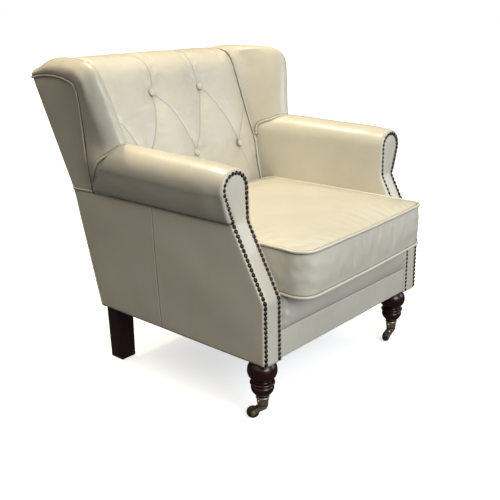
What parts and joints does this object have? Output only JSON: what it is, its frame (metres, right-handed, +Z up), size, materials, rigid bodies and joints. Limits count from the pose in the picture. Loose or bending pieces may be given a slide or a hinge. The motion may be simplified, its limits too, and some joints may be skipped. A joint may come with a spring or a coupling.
{
  "type": "upholstered armchair",
  "caption": "Low wing armchair in cream leather with scroll arms, nailed facings, buttoned back, loose box cushion, turned front legs on castors and square rear legs.",
  "frame": {"origin": "on the floor, under the middle of the chair's whole width and depth", "axes": "+Z up; the sitter faces -Y; +X is the right-hand side seen from the front"},
  "size_m": [0.7948, 0.912, 0.858],
  "materials": {
    "cream_leather": "satin",
    "padded_leather": "satin",
    "frame_hardwood": "matte",
    "dark_mahogany": "satin",
    "antique_nails": "satin",
    "antique_brass": "satin",
    "castor_tread": "satin",
    "steel": "satin",
    "black_cloth": "matte",
    "jute_webbing": "matte",
    "zip_tape": "matte"
  },
  "bodies": {
    "root": {"back_buttons": "cream_leather", "back_rail": "frame_hardwood", "back_webbing": "jute_webbing", "corner_blocks": "frame_hardwood", "cup_screws": "antique_brass", "dust_cover": "black_cloth", "front_border_lower": "cream_leather", "front_border_upper": "padded_leather", "front_rail": "frame_hardwood", "inside_back": "padded_leather", "left_arm_pad": "padded_leather", "left_arm_post": "frame_hardwood", "left_arm_rail": "frame_hardwood", "left_back_post": "frame_hardwood", "left_castor_cup": "antique_brass", "left_facing": "cream_leather", "left_facing_nails": "antique_nails", "left_front_leg": "dark_mahogany", "left_outside_arm": "cream_leather", "left_outside_wing": "cream_leather", "left_rear_leg": "dark_mahogany", "left_side_rail": "frame_hardwood", "left_wing_frame": "frame_hardwood", "left_wing_pad": "padded_leather", "leg_bolts": "steel", "lower_back_rail": "frame_hardwood", "outside_back": "cream_leather", "right_arm_pad": "padded_leather", "right_arm_post": "frame_hardwood", "right_arm_rail": "frame_hardwood", "right_back_post": "frame_hardwood", "right_castor_cup": "antique_brass", "right_facing": "cream_leather", "right_facing_nails": "antique_nails", "right_front_leg": "dark_mahogany", "right_outside_arm": "cream_leather", "right_outside_wing": "cream_leather", "right_rear_leg": "dark_mahogany", "right_side_rail": "frame_hardwood", "right_wing_frame": "frame_hardwood", "right_wing_pad": "padded_leather", "seat_deck": "padded_leather", "seat_springs": "steel", "spring_clips": "steel", "top_rail": "frame_hardwood"},
    "seat_cushion": {"seat_cushion": "padded_leather", "cushion_piping": "cream_leather", "cushion_zip": "zip_tape"},
    "left_castor_swivel": {"left_castor_fork": "antique_brass", "left_castor_axle": "steel"},
    "left_castor_wheel": {"left_castor_wheel": "castor_tread"},
    "right_castor_swivel": {"right_castor_fork": "antique_brass", "right_castor_axle": "steel"},
    "right_castor_wheel": {"right_castor_wheel": "castor_tread"}
  },
  "joints": [
    {"name": "seat_cushion_lift", "type": "slide", "parent": "root", "child": "seat_cushion", "axis": [0, 0, 1], "range_m": [0, 0.55]},
    {"name": "left_castor_turn", "type": "hinge", "parent": "root", "child": "left_castor_swivel", "pos_m": [-0.302, -0.347, 0.03], "axis": [0, 0, 1], "continuous": true},
    {"name": "left_castor_roll", "type": "hinge", "parent": "left_castor_swivel", "child": "left_castor_wheel", "pos_m": [-0.31968, -0.32932, 0.0165], "axis": [-0.7071, -0.7071, 0], "continuous": true},
    {"name": "right_castor_turn", "type": "hinge", "parent": "root", "child": "right_castor_swivel", "pos_m": [0.302, -0.347, 0.03], "axis": [0, 0, 1], "continuous": true},
    {"name": "right_castor_roll", "type": "hinge", "parent": "right_castor_swivel", "child": "right_castor_wheel", "pos_m": [0.277, -0.347, 0.0165], "axis": [0, -1, 0], "continuous": true}
  ]
}
